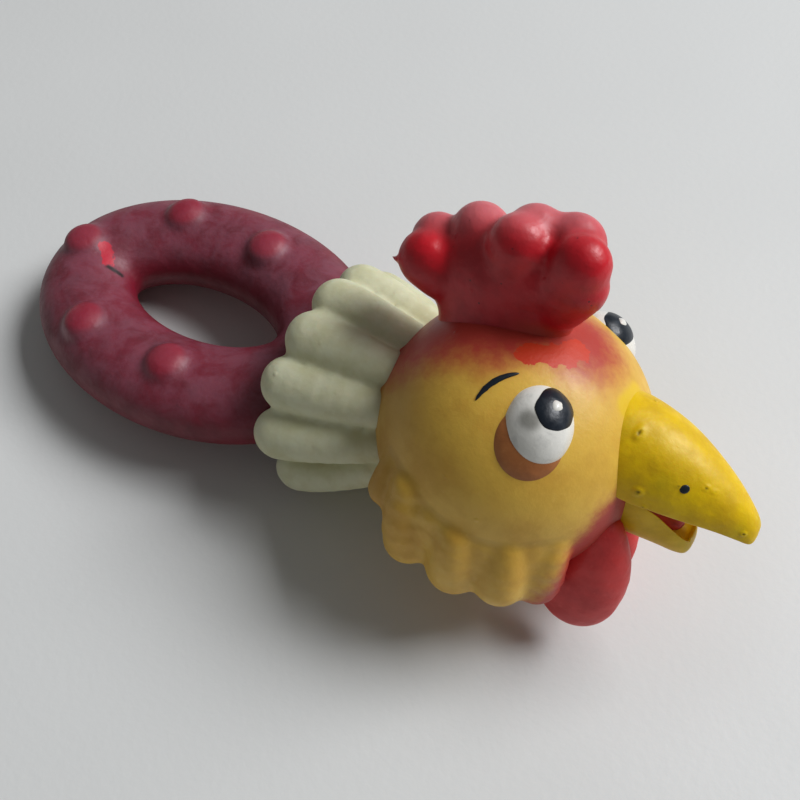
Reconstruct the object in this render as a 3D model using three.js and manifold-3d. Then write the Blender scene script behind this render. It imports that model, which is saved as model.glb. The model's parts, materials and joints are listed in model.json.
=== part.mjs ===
// A hollow latex squeaky toy: a round chicken's head whose neck runs into a chewing ring.
// Millimetres. +Z is up, +X is the way the beak points, +Y is the chicken's left.
// The toy is modelled as it lies on a floor: on the ring's far end and on the left wattle.

import * as THREE from 'three';
import { mergeVertices } from 'three/addons/utils/BufferGeometryUtils.js';
import Module from 'manifold-3d';

const wasm = await Module();
wasm.setup();

// ---------------------------------------------------------------- driving sizes

const GAP = 0.3; // clearance between neighbouring pieces

const HEAD_R = 30.5; // the ball of the head
const HEAD_LIFT = 36.9; // centre of the ball above the floor
const HEAD_PITCH = 6.2; // degrees, beak up
const HEAD_ROLL = 20.2; // degrees, crown leaning to the chicken's left

const RING_A = 36.1; // half length of the ring's centre line
const RING_B = 22.3; // half width of the ring's centre line
const TUBE_W = 12.9; // half width of the ring's tube, seen from above
const TUBE_H = 10.0; // half height of the ring's tube
const RING_X = -88.7; // centre of the ring, behind the head
const RING_LIFT = 15.5;
const RING_PITCH = 6.9; // degrees, neck end up
const NUB_R = 6.2; // the round nubs on the ring
const NUB_RISE = 2.5;
const TOP_NUBS = [[7.9, -21.6], [-19.2, -21.2], [-38.2, 0], [-19.2, 20.2], [7.9, 20.6]];
const LOW_NUBS = [[-5, -22], [-31.8, -11], [-31.8, 11], [-5, 22]];

const BALL_X = 46.6; // end ball of the neck, in the ring's own frame
const BALL_R = 12;
const WAG = 9; // degrees the ring can wag to each side
const JAW_SHUT = -1; // degrees
const JAW_OPEN = 5;

const COLLAR_PITCH = 16.5; // degrees, slope of the collar's axis
const COLLAR_BACK = 41; // from the head's centre to the collar's middle
const PETALS = 11;
const PETAL_RING_R = 20.4;
const PETAL_SPREAD = 7; // how far the floor presses the lower petals outwards
const PETAL_TURN = 17.7; // degrees from the top to the first petal

const SQUEAKER_LAT = -76; // where the squeaker sits, on the head's underside
const BARREL_R = 6.2;
const BARREL_BORE = 4.4;
const BARREL_DEPTH = 15;
const FLANGE_R = 8.6;

// ------------------------------------------------------------------ surface looks

const LOOKS = {
  yellow: { color: 0xe9b23e, roughness: 0.42 },
  beak: { color: 0xf2c524, roughness: 0.34 },
  red: { color: 0x9c1526, roughness: 0.45 },
  coral: { color: 0xd94a38, roughness: 0.45 },
  pink: { color: 0xcf3f4c, roughness: 0.5 },
  white: { color: 0xf1efe8, roughness: 0.22 },
  black: { color: 0x23262b, roughness: 0.35 },
  brown: { color: 0xb5762e, roughness: 0.5 },
  cream: { color: 0xe7ead0, roughness: 0.68 },
  maroon: { color: 0x8f3a40, roughness: 0.62 },
  nub: { color: 0xb2232d, roughness: 0.5 },
  plastic: { color: 0xe9ecee, roughness: 0.4 },
};

// --------------------------------------------------------------- solid building

const rad = THREE.MathUtils.degToRad;

// A closed three.js geometry becomes a solid that can be cut and joined.
function solid(geometry) {
  const bare = geometry.clone();
  bare.deleteAttribute('normal');
  bare.deleteAttribute('uv');
  const merged = mergeVertices(bare, 1e-4);
  return new wasm.Manifold(new wasm.Mesh({
    numProp: 3,
    vertProperties: new Float32Array(merged.attributes.position.array),
    triVerts: new Uint32Array(merged.index.array),
  }));
}

function joined(solids) {
  return solids.reduce((sum, next) => sum.add(next));
}

// The named mesh of one finished piece.
function pieceMesh(name, body, look) {
  const data = body.getMesh();
  const geometry = new THREE.BufferGeometry();
  geometry.setAttribute('position', new THREE.BufferAttribute(data.vertProperties, data.numProp));
  geometry.setIndex(new THREE.BufferAttribute(data.triVerts, 1));
  geometry.computeVertexNormals();
  const mesh = new THREE.Mesh(geometry, new THREE.MeshStandardMaterial({ metalness: 0, ...LOOKS[look] }));
  mesh.name = name;
  return mesh;
}

// An egg of three half sizes, standing in a frame given by a matrix or a centre point.
function egg(centre, sizes, grow = 0, detail = 28, turn = new THREE.Matrix4()) {
  const geometry = new THREE.SphereGeometry(1, detail, Math.round(detail * 0.6));
  geometry.rotateX(Math.PI / 2);
  geometry.scale(sizes[0] + grow, sizes[1] + grow, sizes[2] + grow);
  geometry.applyMatrix4(turn);
  geometry.translate(...centre);
  return solid(geometry);
}

function cylinder(radius, low, high, detail = 32) {
  const geometry = new THREE.CylinderGeometry(radius, radius, high - low, detail);
  geometry.rotateX(Math.PI / 2);
  geometry.translate(0, 0, (low + high) / 2);
  return solid(geometry);
}

// A frame that sits on the head's ball: local +Z is outward, local +Y is towards the crown.
function ballFrame(azimuth, latitude, distance) {
  const out = new THREE.Vector3().setFromSphericalCoords(1, rad(90 - latitude), rad(90 + azimuth));
  out.set(out.x, -out.z, out.y);
  const side = new THREE.Vector3(0, 0, 1).cross(out).normalize();
  const up = out.clone().cross(side);
  return new THREE.Matrix4().makeBasis(side, up, out).setPosition(out.multiplyScalar(distance));
}

function eggOnBall(azimuth, latitude, distance, sizes, grow = 0, detail = 28) {
  const geometry = new THREE.SphereGeometry(1, detail, Math.round(detail * 0.6));
  geometry.rotateX(Math.PI / 2);
  geometry.scale(sizes[0] + grow, sizes[1] + grow, sizes[2] + grow);
  geometry.applyMatrix4(ballFrame(azimuth, latitude, distance));
  return solid(geometry);
}

// Stations along +X, each [x, top, bottom, half width], skinned by one closed smooth surface.
function lofted(stations, grow = 0, detail = 24) {
  const curve = new THREE.SplineCurve(stations.map((s) => new THREE.Vector2(s[0], s[1])));
  const lower = new THREE.SplineCurve(stations.map((s) => new THREE.Vector2(s[0], s[2])));
  const width = new THREE.SplineCurve(stations.map((s) => new THREE.Vector2(s[0], s[3])));
  const geometry = new THREE.SphereGeometry(1, detail, 16);
  const position = geometry.attributes.position;
  const point = new THREE.Vector3();
  for (let i = 0; i < position.count; i += 1) {
    point.fromBufferAttribute(position, i);
    const along = Math.acos(THREE.MathUtils.clamp(-point.y, -1, 1)) / Math.PI;
    const reach = Math.hypot(point.x, point.z);
    const side = reach > 1e-6 ? point.x / reach : 0;
    const rise = reach > 1e-6 ? point.z / reach : 0;
    const top = curve.getPoint(along);
    const bottom = lower.getPoint(along);
    const middle = (top.y + bottom.y) / 2;
    const open = reach > 1e-6 ? 1 : 0;
    const half = (top.y - bottom.y) / 2 + grow * open;
    const across = width.getPoint(along).y + grow * open;
    position.setXYZ(i, top.x + grow * (2 * along - 1), across * side, middle + half * rise * open);
  }
  const made = solid(geometry);
  return made.volume() < 0 ? solid(flipped(geometry)) : made;
}

function flipped(geometry) {
  const index = geometry.index.array;
  for (let i = 0; i < index.length; i += 3) {
    [index[i], index[i + 1]] = [index[i + 1], index[i]];
  }
  return geometry;
}

function headBall(grow = 0, detail = 36) {
  return egg([0, 0, 0], [HEAD_R, HEAD_R, HEAD_R], grow, detail);
}

// Everything below the floor, as a block in the frame of a piece's group.
function underFloor(group) {
  const geometry = new THREE.BoxGeometry(400, 400, 60);
  geometry.translate(0, 0, -30);
  group.updateMatrix();
  geometry.applyMatrix4(group.matrix.clone().invert());
  return solid(geometry);
}

// ------------------------------------------------------------------ head pieces

const headGroup = new THREE.Group();
headGroup.name = 'head_group';
headGroup.position.set(0, 0, HEAD_LIFT);
headGroup.rotation.set(-rad(HEAD_ROLL), -rad(HEAD_PITCH), 0, 'YXZ');

function squeakerFrame() {
  return ballFrame(180, SQUEAKER_LAT, HEAD_R);
}

function placed(body, matrix) {
  return body.transform(matrix.toArray());
}

function head() {
  const pocket = cylinder(BARREL_R + GAP, -BARREL_DEPTH - 3, 6, 40);
  const recess = cylinder(FLANGE_R + GAP, -2.2, 6, 40);
  return headBall(0, 40).subtract(placed(pocket.add(recess), squeakerFrame()));
}

// Azimuth, then latitude, distance from the ball's centre and radius of a lobe's tip and of its top.
const RUFF_LOBES = [
  [123.5, -15, 31.3, 3.9, -2, 28.4, 3.4],
  [117.5, -26, 31.3, 4, -3, 28.4, 3.6],
  [111, -35, 32.7, 5.4, -5, 28.6, 4],
  [98.5, -38, 31, 4.8, -12, 28.4, 4],
  [86, -39.5, 31.9, 6, -17, 28.4, 4.2],
  [74.5, -38.5, 31, 5, -18, 28.2, 4.2],
  [63, -36.5, 31.9, 5.9, -17, 28.2, 4.2],
  [53.5, -38, 31.8, 4.8, -14, 28, 4.2],
  [44.5, -38.4, 32.4, 5.3, -12, 28, 4],
];

// The feathered jowl that runs from behind the cheek down to the wattle, lobed along its lower edge.
function ruff(side, grow = 0, detail = 10) {
  const beads = [];
  for (const [azimuth, tipLatitude, tipReach, tipR, topLatitude, topReach, topR] of RUFF_LOBES) {
    for (const t of [0, 0.5, 1]) {
      const latitude = topLatitude + (tipLatitude - topLatitude) * t;
      const reach = topReach + (tipReach - topReach) * t;
      const radius = topR + (tipR - topR) * t;
      beads.push(eggOnBall(side * azimuth, latitude, reach, [radius, radius, radius], grow, detail));
    }
  }
  return joined(beads)
    .subtract(headBall(GAP))
    .subtract(wattleShape(side, GAP))
    .subtract(lidShape(side, GAP));
}

// Centre and radius of each rounded end of the comb.
const COMB_FINGERS = [
  [-26, -2.8, 34.6, 6],
  [-17.4, -2, 38.6, 5.4],
  [-7.2, -2.8, 45.6, 6],
  [6.2, -3.2, 46.6, 6],
  [7, -2.6, 40.6, 5.6],
  [-26.4, 2.6, 36.6, 6],
  [-17.4, 2.8, 42, 6.4],
  [-6.6, 1.8, 46.2, 6.4],
  [2, 2.8, 46.8, 6.2],
];

const UPPER_BEAK = [
  [17, 20.6, 5, 9.5],
  [23, 20.6, 4, 12.2],
  [29, 19.9, 3.2, 12],
  [35, 18.1, 3, 10.6],
  [41, 15, 2.4, 8.5],
  [47, 10.8, 1.2, 6],
  [51.4, 6.4, -0.6, 3.8],
  [54.3, 1.4, 0.2, 0.2],
];

const LOWER_BEAK = [
  [20, 2, -8.4, 7],
  [26, 2, -9.6, 8.8],
  [31, 1.4, -9.6, 8.4],
  [35, 0.2, -9.7, 7.4],
  [38.5, -1.6, -9.9, 6],
  [41.5, -3.2, -10, 4.4],
  [44.2, -6.4, -7.4, 0.2],
];

function upperBeak() {
  return lofted(UPPER_BEAK).subtract(headBall(GAP));
}

function lowerBeakShape(grow = 0) {
  return lofted(LOWER_BEAK, grow);
}

// The hollow of the mouth, sloping down towards the tip of the lower beak.
function mouthHollow(grow = 0) {
  const slope = new THREE.Matrix4().makeRotationY(rad(12));
  return egg([29, 0, 1.6], [11.4, 6.6, 5], grow, 24, slope);
}

function lowerBeak() {
  return lowerBeakShape().subtract(headBall(GAP)).subtract(mouthHollow());
}

// The lower beak in every place it can swing to, for clearing what is below it.
function lowerBeakSweep() {
  const steps = [JAW_SHUT, 1.5, 3.5, JAW_OPEN];
  return joined(steps.map((angle) => lowerBeakShape(GAP).rotate([0, angle, 0])));
}

function tongue() {
  const slope = new THREE.Matrix4().makeRotationY(rad(12));
  const slab = egg([30, 0, -2.2], [10, 6.4, 2.8], 0, 24, slope);
  return slab.intersect(mouthHollow(-GAP)).subtract(headBall(GAP));
}

function eyeShape(side, grow = 0) {
  return eggOnBall(side * 61.2, 41.8, 27.2, [7.3, 8.4, 6.5], grow, 28);
}

function lidShape(side, grow = 0) {
  return eggOnBall(side * 65, 35.2, 27.4, [7.3, 7.6, 5.4], grow, 24);
}

function eyeWhite(side) {
  return eyeShape(side).subtract(headBall(GAP));
}

function lowerLid(side) {
  return lidShape(side).subtract(eyeShape(side, GAP)).subtract(headBall(GAP));
}

function pupil(side) {
  const post = placed(cylinder(4, -2, 6), ballFrame(side * 54.4, 47.7, HEAD_R));
  return post.intersect(eyeShape(side, 1.1)).subtract(eyeShape(side, GAP)).subtract(headBall(GAP));
}

// A thick drop of latex that hangs below the lower beak. The left one is pressed by the floor.
function wattleShape(side, grow = 0) {
  if (side > 0) {
    return egg([24.8, 7.4, -24.9], [8, 5.7, 16.1], grow, 24);
  }
  return egg([26.8, -8.6, -24.4], [11.2, 6.3, 12.8], grow, 24);
}

function wattle(side) {
  const shape = wattleShape(side).subtract(headBall(GAP)).subtract(lowerBeakSweep());
  return shape.subtract(underFloor(headGroup));
}

function comb() {
  const tilt = new THREE.Matrix4().makeRotationY(rad(-20));
  const core = egg([-9, 0, 34.5], [17.5, 7.6, 13], 0, 24, tilt);
  const fingers = COMB_FINGERS.map(([x, y, z, r]) => egg([x, y, z], [r, r * 0.86, r], 0, 13));
  return joined([core, ...fingers]).subtract(headBall(GAP));
}

// --------------------------------------------------------------------- squeaker

function squeakerHousing() {
  const profile = [
    [BARREL_BORE, -BARREL_DEPTH],
    [BARREL_R, -BARREL_DEPTH],
    [BARREL_R, -1.9],
    [FLANGE_R, -1.9],
    [FLANGE_R, -0.7],
    [FLANGE_R - 0.4, -0.3],
    [BARREL_BORE + 0.5, -0.3],
    [BARREL_BORE, -0.8],
    [BARREL_BORE, -BARREL_DEPTH],
  ];
  const geometry = new THREE.LatheGeometry(profile.map(([r, h]) => new THREE.Vector2(r, h)), 40);
  geometry.rotateX(Math.PI / 2);
  return placed(solid(geometry), squeakerFrame());
}

// The half-round trough that the reed beats on.
function squeakerAnvil() {
  const rod = cylinder(BARREL_BORE - GAP, -14, -4, 36);
  const upperHalf = new THREE.BoxGeometry(20, 20, 40);
  upperHalf.translate(0, 10 - 0.4, -10);
  const trough = new THREE.BoxGeometry(2.6, 4, 9);
  trough.translate(0, -0.4, -7.6);
  return placed(rod.subtract(solid(upperHalf)).subtract(solid(trough)), squeakerFrame());
}

function squeakerReed() {
  const blade = new THREE.BoxGeometry(4.4, 0.4, 9.4);
  blade.translate(0, 0.1, -9);
  return placed(solid(blade), squeakerFrame());
}

// ------------------------------------------------------------------ ring pieces

const ringGroup = new THREE.Group();
ringGroup.name = 'ring_group';
ringGroup.position.set(RING_X, 0, RING_LIFT);
ringGroup.rotation.set(0, -rad(RING_PITCH), 0);

// A torus drawn out to an oval ring with an oval tube.
function ringTube(grow = 0, around = 48, section = 16) {
  const geometry = new THREE.TorusGeometry(10, 1, section, around);
  const position = geometry.attributes.position;
  for (let i = 0; i < position.count; i += 1) {
    const angle = Math.atan2(position.getY(i), position.getX(i));
    const across = Math.hypot(position.getX(i), position.getY(i)) - 10;
    const normal = new THREE.Vector2(RING_B * Math.cos(angle), RING_A * Math.sin(angle)).normalize();
    position.setXYZ(
      i,
      RING_A * Math.cos(angle) + normal.x * across * (TUBE_W + grow),
      RING_B * Math.sin(angle) + normal.y * across * (TUBE_W + grow),
      position.getZ(i) * (TUBE_H + grow),
    );
  }
  return solid(geometry);
}

function ringShape(grow = 0, around = 48, section = 16, ball = 20) {
  return ringTube(grow, around, section).add(egg([BALL_X, 0, 0], [BALL_R, BALL_R, BALL_R], grow, ball));
}

function nubShape([x, y], level) {
  return egg([x, y, level * (TUBE_H - 1.2)], [NUB_R, NUB_R, NUB_RISE + 1.2], 0, 16);
}

function nub(spot, level) {
  return nubShape(spot, level).subtract(ringTube(GAP)).subtract(underFloor(ringGroup));
}

// ---------------------------------------------------------------------- collar

const collarGroup = new THREE.Group();
collarGroup.name = 'collar_group';
collarGroup.position.set(
  -COLLAR_BACK * Math.cos(rad(COLLAR_PITCH)),
  0,
  HEAD_LIFT - COLLAR_BACK * Math.sin(rad(COLLAR_PITCH)),
);
collarGroup.rotation.set(0, -rad(COLLAR_PITCH), 0);

// The ring in every place it can wag to, in the collar's frame.
function ringSweep() {
  ringGroup.updateMatrix();
  collarGroup.updateMatrix();
  const toCollar = collarGroup.matrix.clone().invert().multiply(ringGroup.matrix);
  const poses = [-1.25, -0.8, -0.3, 0.3, 0.8, 1.25].map((part) => {
    const turned = ringShape(GAP + 0.6, 24, 12, 14).translate([-BALL_X, 0, 0]).rotate([0, 0, part * WAG]);
    return placed(turned.translate([BALL_X, 0, 0]), toCollar);
  });
  return joined(poses);
}

function collarPetal(index) {
  const turn = rad(PETAL_TURN) + (2 * Math.PI * index) / PETALS;
  const low = (1 - Math.cos(turn)) / 2;
  const spread = PETAL_SPREAD * low * Math.abs(Math.sin(turn)) + 1.4 * low;
  const geometry = new THREE.SphereGeometry(1, 11, 7);
  geometry.scale(12, 6.7, 5.2);
  geometry.rotateY(rad(-15));
  geometry.translate(0.6 - 5 * Math.sin(turn) ** 2, 0, PETAL_RING_R + spread);
  geometry.rotateX(turn);
  return solid(geometry);
}

function featherCollar() {
  const profile = [
    [0, -9],
    [17, -9],
    [19.2, -5],
    [19.8, 2],
    [19.2, 10],
    [17.4, 18],
    [0, 18],
  ];
  const neck = new THREE.LatheGeometry(profile.map(([r, h]) => new THREE.Vector2(r, h)), 32);
  neck.rotateZ(-Math.PI / 2);
  const petals = Array.from({ length: PETALS }, (_, index) => collarPetal(index));
  const clearBall = headBall(GAP).translate([COLLAR_BACK, 0, 0]);
  const collar = joined([solid(neck), ...petals]).subtract(clearBall).subtract(ringSweep());
  return largest(collar.subtract(underFloor(collarGroup)));
}

function largest(body) {
  return body.decompose().sort((a, b) => b.volume() - a.volume())[0];
}

// -------------------------------------------------------------------- assembly

headGroup.add(pieceMesh('head', head(), 'yellow'));
headGroup.add(pieceMesh('upper_beak', upperBeak(), 'beak'));
headGroup.add(pieceMesh('lower_beak', lowerBeak(), 'beak'));
headGroup.add(pieceMesh('tongue', tongue(), 'pink'));
headGroup.add(pieceMesh('comb', comb(), 'red'));
for (const [name, side] of [['left', 1], ['right', -1]]) {
  headGroup.add(pieceMesh(`ruff_${name}`, ruff(side), 'yellow'));
  headGroup.add(pieceMesh(`eye_white_${name}`, eyeWhite(side), 'white'));
  headGroup.add(pieceMesh(`lower_lid_${name}`, lowerLid(side), 'brown'));
  headGroup.add(pieceMesh(`pupil_${name}`, pupil(side), 'black'));
  headGroup.add(pieceMesh(`wattle_${name}`, wattle(side), 'coral'));
}
headGroup.add(pieceMesh('squeaker_housing', squeakerHousing(), 'plastic'));
headGroup.add(pieceMesh('squeaker_anvil', squeakerAnvil(), 'plastic'));
headGroup.add(pieceMesh('squeaker_reed', squeakerReed(), 'plastic'));

collarGroup.add(pieceMesh('feather_collar', featherCollar(), 'cream'));

ringGroup.add(pieceMesh('ring_handle', ringShape().subtract(underFloor(ringGroup)), 'maroon'));
TOP_NUBS.forEach((spot, index) => {
  ringGroup.add(pieceMesh(`nub_top_${index + 1}`, nub(spot, 1), 'nub'));
});
LOW_NUBS.forEach((spot, index) => {
  ringGroup.add(pieceMesh(`nub_low_${index + 1}`, nub(spot, -1), 'nub'));
});

const toy = new THREE.Group();
toy.name = 'squeaky_chicken_ring_toy';
toy.add(headGroup, collarGroup, ringGroup);

// The frame's origin is under the middle of the toy, on the floor.
const extent = new THREE.Box3().setFromObject(toy, true);
const middle = extent.getCenter(new THREE.Vector3());
for (const group of [headGroup, collarGroup, ringGroup]) {
  group.position.x -= middle.x;
  group.position.y -= middle.y;
}

export default toy;
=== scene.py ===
"""A hollow latex squeaky toy: a round rooster's head whose feathered neck runs into a knobbed ring."""

import json
import logging
import math
from dataclasses import dataclass
from enum import Enum
from typing import Callable, Sequence

import bpy
import numpy as np
from mathutils import Euler, Matrix, Vector, noise


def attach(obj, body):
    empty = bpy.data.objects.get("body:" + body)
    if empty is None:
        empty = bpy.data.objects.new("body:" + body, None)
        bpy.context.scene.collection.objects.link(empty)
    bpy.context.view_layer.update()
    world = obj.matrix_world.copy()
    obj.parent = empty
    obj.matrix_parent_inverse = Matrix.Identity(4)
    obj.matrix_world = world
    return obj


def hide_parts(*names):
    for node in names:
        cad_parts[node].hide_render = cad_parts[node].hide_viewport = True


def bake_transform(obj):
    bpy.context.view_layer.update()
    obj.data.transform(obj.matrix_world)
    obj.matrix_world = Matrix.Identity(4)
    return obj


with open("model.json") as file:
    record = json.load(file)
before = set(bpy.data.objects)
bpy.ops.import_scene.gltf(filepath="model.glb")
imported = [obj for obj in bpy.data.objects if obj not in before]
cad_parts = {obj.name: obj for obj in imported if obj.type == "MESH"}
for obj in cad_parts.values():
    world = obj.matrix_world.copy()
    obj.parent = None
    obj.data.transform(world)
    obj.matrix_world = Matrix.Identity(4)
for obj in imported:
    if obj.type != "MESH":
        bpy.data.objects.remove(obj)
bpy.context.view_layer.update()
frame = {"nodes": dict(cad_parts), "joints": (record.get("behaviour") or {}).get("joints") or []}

MM = 0.001
HEAD_R = 30.5  # the ball of the head
BALL_X = 46.6  # from the ring's centre to the end ball of its neck
COLLAR_BACK = 41.0  # from the head's centre to the collar's middle
COLLAR_SLOPE = 16.5  # degrees, the collar's axis against the floor
LOG = logging.getLogger("toy")

Triple = tuple[float, float, float]
Piece = bpy.types.Object
Socket = bpy.types.NodeSocket
Material = bpy.types.Material


class Side(Enum):
    """The two sides of the chicken."""

    LEFT = 1
    RIGHT = -1

    @property
    def word(self) -> str:
        """The side's name in lower case."""
        return self.name.lower()


class Places:
    """The local frames of the toy's parts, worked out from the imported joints."""

    def __init__(self) -> None:
        """Read the joints and build one matrix for each part's own frame."""
        joints = {item["name"]: item for item in frame["joints"]}
        crown = joints["comb_rock"]
        centre = Vector(crown["pos_m"])
        self.head = self.square(centre, Vector(crown["axis"]), Vector(joints["jaw_flex"]["axis"]))
        ring_up = Vector(joints["ring_wag"]["axis"])
        ring_x = Vector((0, 1, 0)).cross(ring_up)
        ball = Vector(joints["ring_wag"]["pos_m"])
        self.ball = ball
        self.ring = self.square(ball - ring_x * BALL_X * MM, ring_x, Vector((0, 1, 0)))
        slope = math.radians(COLLAR_SLOPE)
        neck_x = Vector((math.cos(slope), 0, math.sin(slope)))
        self.collar = self.square(centre - neck_x * COLLAR_BACK * MM, neck_x, Vector((0, 1, 0)))

    @staticmethod
    def square(origin: Vector, x: Vector, y: Vector) -> Matrix:
        """Build a frame.

        Args:
            origin: Where the frame stands, in metres.
            x: Its first axis.
            y: Its second axis, made square to the first.

        Returns:
            The frame's matrix.
        """
        z = x.cross(y).normalized()
        y = z.cross(x).normalized()
        matrix = Matrix.Identity(4)
        for index, axis in enumerate((x.normalized(), y, z)):
            for row in range(3):
                matrix[row][index] = axis[row]
        matrix.translation = origin
        return matrix


PLACES = Places()


def on_ball(azimuth: float, latitude: float, distance: float) -> Matrix:
    """Give a frame on the head's ball, in millimetres of the head's frame.

    Args:
        azimuth: Degrees round from the beak, the chicken's left positive.
        latitude: Degrees up from the head's middle.
        distance: Distance from the head's centre.

    Returns:
        A matrix whose local +Z points outwards and +Y towards the crown.
    """
    turn, lift = math.radians(azimuth), math.radians(latitude)
    out = Vector((math.cos(lift) * math.cos(turn), math.cos(lift) * math.sin(turn), math.sin(lift)))
    side = Vector((0, 0, 1)).cross(out).normalized()
    return Places.square(out * distance, side, out.cross(side))


def head_spot(x: float, y: float, z: float) -> Vector:
    """Take a point in millimetres of the head's frame to the world, in metres."""
    return PLACES.head @ (Vector((x, y, z)) * MM)


# ---------------------------------------------------------------- modelling helpers


def clear_selection() -> None:
    """Leave nothing selected."""
    bpy.ops.object.select_all(action="DESELECT")


def take(*pieces: Piece) -> None:
    """Select just these pieces, the first one active."""
    clear_selection()
    for piece in pieces:
        piece.select_set(True)
    bpy.context.view_layer.objects.active = pieces[0]


def settle(piece: Piece) -> None:
    """Apply a piece's place, turn and scale to its mesh."""
    take(piece)
    bpy.ops.object.transform_apply(location=True, rotation=True, scale=True)


def finish_with(piece: Piece, kind: str, **values: object) -> None:
    """Add a modifier to a piece and apply it.

    Args:
        piece: The piece.
        kind: Blender's name for the modifier's type.
        **values: The modifier's settings.
    """
    take(piece)
    modifier = piece.modifiers.new(kind.lower(), kind)
    for key, value in values.items():
        setattr(modifier, key, value)
    bpy.ops.object.modifier_apply(modifier=modifier.name)


def smooth(piece: Piece) -> None:
    """Shade a piece smoothly."""
    take(piece)
    bpy.ops.object.shade_smooth()


def points_of(piece: Piece) -> np.ndarray:
    """Give a mesh's points as an array, in metres."""
    flat = np.zeros(len(piece.data.vertices) * 3)
    piece.data.vertices.foreach_get("co", flat)
    return flat.reshape(-1, 3)


def put_points(piece: Piece, points: np.ndarray) -> None:
    """Write an array of points back to a mesh."""
    piece.data.vertices.foreach_set("co", points.astype(float).ravel())
    piece.data.update()


def local_points(piece: Piece, place: Matrix) -> np.ndarray:
    """Give a mesh's points in a part's own frame, in millimetres."""
    inverse = np.array(place.inverted())
    points = points_of(piece)
    return (points @ inverse[:3, :3].T + inverse[:3, 3]) / MM


def put_local(piece: Piece, place: Matrix, points: np.ndarray) -> None:
    """Write points given in a part's own frame, in millimetres."""
    matrix = np.array(place)
    put_points(piece, (points * MM) @ matrix[:3, :3].T + matrix[:3, 3])


def ramp(values: np.ndarray, low: float, high: float) -> np.ndarray:
    """Rise smoothly from 0 at low to 1 at high, or fall where low is above high."""
    t = np.clip((values - low) / (high - low), 0, 1)
    return t * t * (3 - 2 * t)


def paint(piece: Piece, name: str, values: np.ndarray) -> None:
    """Store one number for each point, for a material to read."""
    layer = piece.data.attributes.new(name, "FLOAT", "POINT")
    layer.data.foreach_set("value", np.clip(values, 0, 1).astype(np.float32))


def segment_distance(points: np.ndarray, start: Sequence[float], end: Sequence[float]) -> np.ndarray:
    """Give each point's distance from a straight line between two points."""
    a, b = np.array(start, float), np.array(end, float)
    along = np.clip(((points - a) @ (b - a)) / ((b - a) @ (b - a)), 0, 1)
    return np.linalg.norm(points - (a + along[:, None] * (b - a)), axis=1)


def path_distance(points: np.ndarray, *stops: Sequence[float]) -> np.ndarray:
    """Give each point's distance from a path of straight lines through the stops."""
    return np.minimum.reduce([segment_distance(points, a, b) for a, b in zip(stops, stops[1:])])


class Clay:
    """Soft forms, set in a part's own frame in millimetres, that melt into one skin."""

    def __init__(self, name: str, place: Matrix) -> None:
        """Start an empty lump."""
        self.name = name
        self.place = place
        self.forms: list[Piece] = []

    def egg(
        self, centre: Sequence[float], sizes: Sequence[float], turn: Triple = (0, 0, 0), detail: int = 40
    ) -> None:
        """Add an egg.

        Args:
            centre: Its centre.
            sizes: Its three half sizes.
            turn: Its turn about X, Y and Z, in degrees.
            detail: How many sides it has.
        """
        spin = Euler([math.radians(a) for a in turn]).to_matrix().to_4x4()
        local = Matrix.Translation(Vector(centre) * MM) @ spin
        self.egg_at(self.place @ local, sizes, detail)

    def egg_at(self, world: Matrix, sizes: Sequence[float], detail: int = 40) -> None:
        """Add an egg in a frame given in metres."""
        clear_selection()
        bpy.ops.mesh.primitive_uv_sphere_add(
            segments=detail,
            ring_count=detail // 2,
            radius=1,
            location=world.translation,
            rotation=world.to_euler(),
            scale=[size * MM for size in sizes],
        )
        self.forms.append(bpy.context.active_object)

    def add(self, form: Piece) -> None:
        """Add a form that is already made."""
        self.forms.append(form)

    def melt(self, voxel: float, rounds: int, levels: int = 1) -> Piece:
        """Melt the forms into one closed smooth skin.

        Args:
            voxel: The size of the skin's first cells, in millimetres.
            rounds: How many times the skin is smoothed.
            levels: How many times its faces are divided at the end.

        Returns:
            The finished piece.
        """
        take(*self.forms)
        bpy.ops.object.join()
        piece = bpy.context.active_object
        settle(piece)
        finish_with(piece, "REMESH", mode="VOXEL", voxel_size=voxel * MM, adaptivity=0)
        finish_with(piece, "SMOOTH", factor=0.5, iterations=rounds)
        if levels:
            finish_with(piece, "SUBSURF", levels=levels, render_levels=levels)
        smooth(piece)
        piece.name = self.name
        piece.data.name = self.name
        return piece


def shaped_ball(name: str, place: Matrix, shape: Callable[[Vector], Vector], detail: int = 48) -> Piece:
    """Shape a unit ball by moving its points.

    Args:
        name: The piece's name.
        place: The frame that the shaped points stand in.
        shape: Takes a point of the unit ball to a point in millimetres.
        detail: How many sides the ball has.

    Returns:
        The finished piece.
    """
    clear_selection()
    bpy.ops.mesh.primitive_uv_sphere_add(segments=detail, ring_count=detail // 2, radius=1)
    piece = bpy.context.active_object
    piece.name = name
    piece.data.name = name
    for vertex in piece.data.vertices:
        vertex.co = place @ (shape(vertex.co.copy()) * MM)
    piece.data.update()
    smooth(piece)
    return piece


# ----------------------------------------------------------------------- materials


def linear(code: str) -> tuple[float, float, float, float]:
    """Turn a six-digit colour code into linear red, green, blue and alpha."""
    channels = [int(code[i : i + 2], 16) / 255 for i in (0, 2, 4)]
    return (*[c / 12.92 if c <= 0.04045 else ((c + 0.055) / 1.055) ** 2.4 for c in channels], 1.0)


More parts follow.
